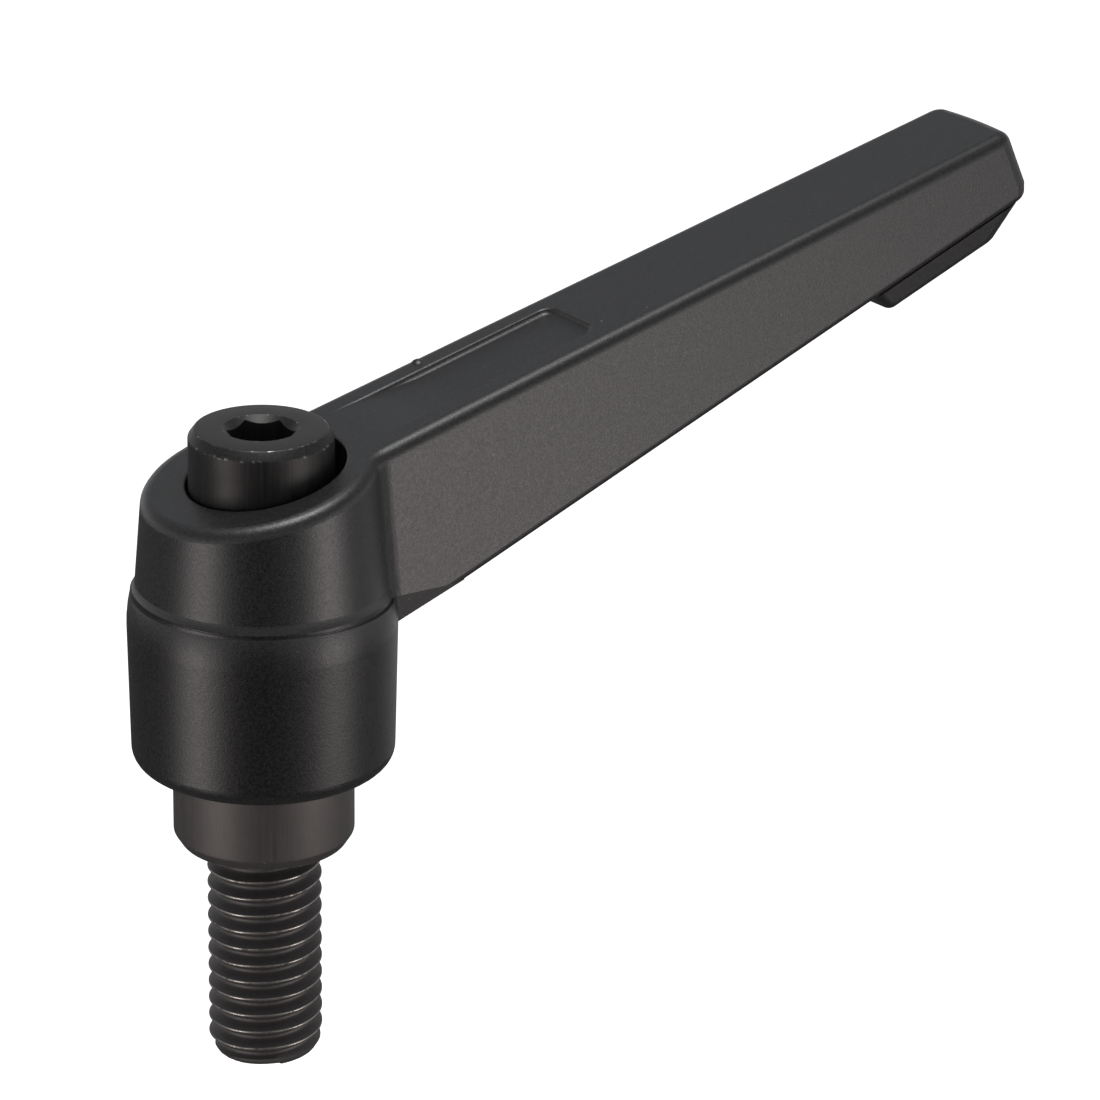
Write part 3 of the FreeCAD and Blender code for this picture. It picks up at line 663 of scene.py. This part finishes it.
def coated_casting_material(grain):
    """Satin black powder coat on die-cast zinc."""
    material, tree, shader, place = start_material("coated_casting")
    coat = use_group(tree, grain, COAT_GRAIN, place)
    mottle = coat.outputs["Mottle"]
    colour = mix_colour(tree, remap(tree, mottle, *MOTTLE_RANGE), COAT_DARK, COAT_LIGHT)
    colour = mix_colour(tree, coat.outputs["Specks"], colour, COAT_SPECK)
    tree.links.new(colour, shader.inputs["Base Color"])
    rough = remap(tree, mottle, *MIDDLE_RANGE, *COAT_ROUGHNESS)
    tree.links.new(rough, shader.inputs["Roughness"])
    shader.inputs["Specular IOR Level"].default_value = 0.5
    add_bump(tree, shader, coat.outputs["Height"], *COAT_BUMP)
    return material


def black_steel_material(name, streaks, rubbed_and_highlight, dark, light, roughness, edges):
    """Black oxide on turned steel, with bright bare steel painted along the edges that are given: partly rubbed
    wear, partly painted highlight.
    """
    material, tree, shader, place = start_material(name)
    drawn = use_group(tree, streaks, BLACK_STEEL_LINES, place)
    lines = drawn.outputs["Lines"]
    bright = None
    for radius, height, weight, width, level in edges:
        edge = use_group(tree, rubbed_and_highlight, {
            "Edge Radius": radius * MM, "Edge Height": height * MM, "Height Weight": weight,
            "Width": width * MM, "Black Level": level}, place).outputs["Mask"]
        bright = math_node(tree, "MAXIMUM", bright, edge) if bright else edge
    body = mix_colour(tree, remap(tree, lines, *MIDDLE_RANGE), dark, light)
    stain = remap(tree, drawn.outputs["Stain"], *STAIN_RANGE, 0.0, STAIN_SHARE)
    stained = mix_colour(tree, stain, body, dark)
    # Bright bare steel painted on the given edges: partly rubbed wear, partly painted highlight
    tree.links.new(mix_colour(tree, bright, stained, RUBBED_AND_HIGHLIGHT_STEEL), shader.inputs["Base Color"])
    rough = remap(tree, lines, *MIDDLE_RANGE, roughness - ROUGHNESS_SPREAD, roughness + ROUGHNESS_SPREAD)
    smoother = math_node(tree, "MULTIPLY", bright, roughness - RUBBED_AND_HIGHLIGHT_ROUGHNESS)
    tree.links.new(math_node(tree, "SUBTRACT", rough, smoother), shader.inputs["Roughness"])
    shader.inputs["Metallic"].default_value = BLACK_STEEL_METALLIC
    add_bump(tree, shader, lines, *BLACK_STEEL_BUMP)
    return material


def spring_wire_material(streaks):
    """Bright drawn spring wire."""
    material, tree, shader, place = start_material("spring_wire")
    drawn = use_group(tree, streaks, WIRE_LINES, place)
    lines = drawn.outputs["Lines"]
    colour = mix_colour(tree, remap(tree, lines, *MIDDLE_RANGE), WIRE_DARK, WIRE_LIGHT)
    tree.links.new(colour, shader.inputs["Base Color"])
    rough = remap(tree, drawn.outputs["Stain"], *MIDDLE_RANGE, *WIRE_ROUGHNESS)
    tree.links.new(rough, shader.inputs["Roughness"])
    shader.inputs["Metallic"].default_value = 1.0
    add_bump(tree, shader, lines, *WIRE_BUMP)
    return material


def dress(piece, material):
    """Material in every slot of a piece."""
    if not piece.material_slots:
        piece.data.materials.append(material)
    for slot in piece.material_slots:
        slot.material = material


def floor_mesh():
    """Round floor with a low rim, open to below."""
    bm = bmesh.new()
    made = []
    for radius, rise in FLOOR_PROFILE:
        ring = []
        for side in range(FLOOR_SIDES):
            angle = 2 * math.pi * side / FLOOR_SIDES
            point = Vector((radius * math.cos(angle), radius * math.sin(angle), FLOOR_HEIGHT + rise))
            ring.append(bm.verts.new(point * MM))
        made.append(ring)
    bm.faces.new(made[0])
    for inner, outer in zip(made, made[1:]):
        for side in range(FLOOR_SIDES):
            after = (side + 1) % FLOOR_SIDES
            bm.faces.new((inner[side], outer[side], outer[after], inner[after]))
    mesh = bpy.data.meshes.new("floor")
    bm.to_mesh(mesh)
    bm.free()
    for polygon in mesh.polygons:
        polygon.use_smooth = True
    return mesh


def pale_floor_material():
    """Matt pale floor that reads white as a background and in reflections, and is clear from below."""
    material, tree, shader, place = start_material("pale_floor")
    colour = mix_colour(tree, noise(tree, place, FLOOR_NOISE_SCALE), *FLOOR_TONES)
    tree.links.new(colour, shader.inputs["Base Color"])
    shader.inputs["Roughness"].default_value = FLOOR_ROUGHNESS
    shader.inputs["Specular IOR Level"].default_value = 0.0
    path = tree.nodes.new("ShaderNodeLightPath")
    seen = math_node(tree, "MAXIMUM", path.outputs["Is Camera Ray"], path.outputs["Is Glossy Ray"])
    seen = math_node(tree, "MAXIMUM", seen, path.outputs["Is Transmission Ray"])
    behind = math_node(tree, "MULTIPLY", path.outputs["Is Camera Ray"], BACKGROUND_GLOW)
    level = math_node(tree, "ADD", math_node(tree, "MULTIPLY", seen, FLOOR_GLOW), behind)
    glow = add_node(tree, "ShaderNodeEmission", {"Color": (1, 1, 1, 1)})
    tree.links.new(level, glow.inputs["Strength"])
    add = tree.nodes.new("ShaderNodeAddShader")
    tree.links.new(shader.outputs[0], add.inputs[0])
    tree.links.new(glow.outputs[0], add.inputs[1])
    clear = tree.nodes.new("ShaderNodeBsdfTransparent")
    geometry = tree.nodes.new("ShaderNodeNewGeometry")
    mix = tree.nodes.new("ShaderNodeMixShader")
    tree.links.new(geometry.outputs["Backfacing"], mix.inputs[0])
    tree.links.new(add.outputs[0], mix.inputs[1])
    tree.links.new(clear.outputs[0], mix.inputs[2])
    tree.links.new(mix.outputs[0], tree.nodes["Material Output"].inputs["Surface"])
    return material


def make_floor():
    """Pale floor well below the lever."""
    floor = link_mesh(floor_mesh(), "floor")
    dress(floor, pale_floor_material())


def make_world():
    """Plain soft surroundings."""
    world = bpy.data.worlds.new("studio")
    world.use_nodes = True
    back = world.node_tree.nodes["Background"]
    back.inputs["Color"].default_value = WORLD_COLOUR
    back.inputs["Strength"].default_value = WORLD_LEVEL
    bpy.context.scene.world = world


def around(heading, distance, height):
    """Place seen from the lever's axis: heading in degrees from the camera's side, positive to its right."""
    turn = math.radians(heading - 90.0 + CAMERA_HEADING)
    return (distance * math.cos(turn), distance * math.sin(turn), height)


def make_softbox(name, place, target, width, height, strength, colour):
    """Rectangular soft light at place, turned to target."""
    light = bpy.data.lights.new(name, "AREA")
    light.shape = "RECTANGLE"
    light.size = width * MM
    light.size_y = height * MM
    light.energy = strength * light.size * light.size_y * math.pi
    light.color = colour
    holder = bpy.data.objects.new(name, light)
    bpy.context.scene.collection.objects.link(holder)
    holder.location = Vector(place) * MM
    aim = (Vector(target) - Vector(place)).normalized()
    holder.rotation_euler = aim.to_track_quat("-Z", "Y").to_euler()


def make_low_softbox(name, heading, height, width, box_height, strength):
    """Softbox lower than the lever, to one side of the camera, that lights the upright walls."""
    place = around(heading, SOFTBOX_REACH, height)
    make_softbox(name, place, SOFTBOX_TARGET, width, box_height, strength, SOFTBOX_COLOUR)


def make_card(name, centre, facing, half, tone, turn=0.0):
    """Dark card that only reflections see, turned in its own plane by turn degrees."""
    half_width, half_height = half[0] * MM, half[1] * MM
    corners = [
        (-half_width, -half_height, 0), (half_width, -half_height, 0),
        (half_width, half_height, 0), (-half_width, half_height, 0)]
    mesh = bpy.data.meshes.new(name)
    mesh.from_pydata(corners, [], [(0, 1, 2, 3)])
    card = link_mesh(mesh, name)
    aim = facing.to_track_quat("Z", "Y").to_matrix().to_4x4()
    card.matrix_world = Matrix.Translation(centre * MM) @ aim @ Matrix.Rotation(math.radians(turn), 4, "Z")
    material, tree, shader, place = start_material(name)
    tones = [(tone * share,) * 3 + (1.0,) for share in CARD_SPREAD]
    shade = mix_colour(tree, noise(tree, place, CARD_NOISE_SCALE), *tones)
    tree.links.new(shade, shader.inputs["Base Color"])
    shader.inputs["Roughness"].default_value = 1.0
    shader.inputs["Specular IOR Level"].default_value = 0.0
    card.visible_camera = False
    card.visible_diffuse = False
    card.visible_shadow = False
    card.visible_transmission = False
    dress(card, material)


def make_floor_card(name, reach, half, tone):
    """Dark card just over the floor, with its middle at a reach from the axis along the cards' turn."""
    turn = math.radians(CARD_TURN)
    centre = Vector((reach * math.cos(turn), reach * math.sin(turn), FLOOR_HEIGHT + CARD_LIFT))
    make_card(name, centre, Vector((0, 0, 1)), half, tone, CARD_TURN)


def make_studio():
    """Floor, surroundings, softboxes and dark cards."""
    make_world()
    make_floor()
    make_low_softbox("left_softbox", *LEFT_SOFTBOX)
    make_low_softbox("right_softbox", *RIGHT_SOFTBOX)
    make_softbox(
        "top_softbox", TOP_SOFTBOX_PLACE, TOP_SOFTBOX_TARGET, TOP_SOFTBOX_SIZE, TOP_SOFTBOX_SIZE,
        TOP_SOFTBOX_STRENGTH, (1, 1, 1))
    front = Vector(around(0, FRONT_CARD_REACH, FRONT_CARD_HEIGHT))
    make_card("front_card", front, -front, FRONT_CARD_HALF, FRONT_CARD_TONE)
    table_reach = TABLE_CARD_EDGE - TABLE_CARD_HALF[0]
    make_floor_card("table_card", table_reach, TABLE_CARD_HALF, TABLE_CARD_TONE)
    make_floor_card("far_card", FAR_CARD_EDGE + FAR_CARD_HALF[0], FAR_CARD_HALF, FAR_CARD_TONE)


def make_camera():
    """Camera where the photograph was taken from."""
    camera = bpy.data.cameras.new("camera")
    camera.lens = CAMERA_LENS
    camera.sensor_width = SENSOR_WIDTH
    camera.clip_start = CLIP_NEAR * MM
    camera.clip_end = CLIP_FAR * MM
    holder = bpy.data.objects.new("camera", camera)
    bpy.context.scene.collection.objects.link(holder)
    holder.matrix_world = (
        Matrix.Translation(Vector(CAMERA_PLACE) * MM)
        @ Matrix.Rotation(math.radians(CAMERA_HEADING), 4, "Z")
        @ Matrix.Rotation(math.radians(90.0 - CAMERA_TILT), 4, "X")
        @ Matrix.Rotation(math.radians(CAMERA_ROLL), 4, "Z")
    )
    bpy.context.scene.camera = holder


make_camera()
make_studio()

grain = coating_grain_group()
streaks = drawn_streaks_group()
rubbed_and_highlight = rubbed_and_highlight_edge_group()
coated_casting = coated_casting_material(grain)
insert_black = black_steel_material(
    "insert_black", streaks, rubbed_and_highlight, INSERT_DARK, INSERT_LIGHT, INSERT_ROUGHNESS, INSERT_EDGES)
screw_black = black_steel_material(
    "screw_black", streaks, rubbed_and_highlight, SCREW_DARK, SCREW_LIGHT, SCREW_ROUGHNESS, SCREW_EDGES)
spring_wire = spring_wire_material(streaks)

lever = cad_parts["lever_body"]
dress(lever, coated_casting)

insert = make_threaded_insert()
dress(insert, insert_black)
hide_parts("stud_insert")
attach(insert, "fixed")

screw = make_socket_screw()
dress(screw, screw_black)
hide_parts("retaining_screw")
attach(screw, "fixed")

spring = make_coil_spring()
dress(spring, spring_wire)
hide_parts("return_spring")
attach(spring, "turning")
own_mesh(spring)

bpy.context.scene.view_settings.view_transform = "Standard"
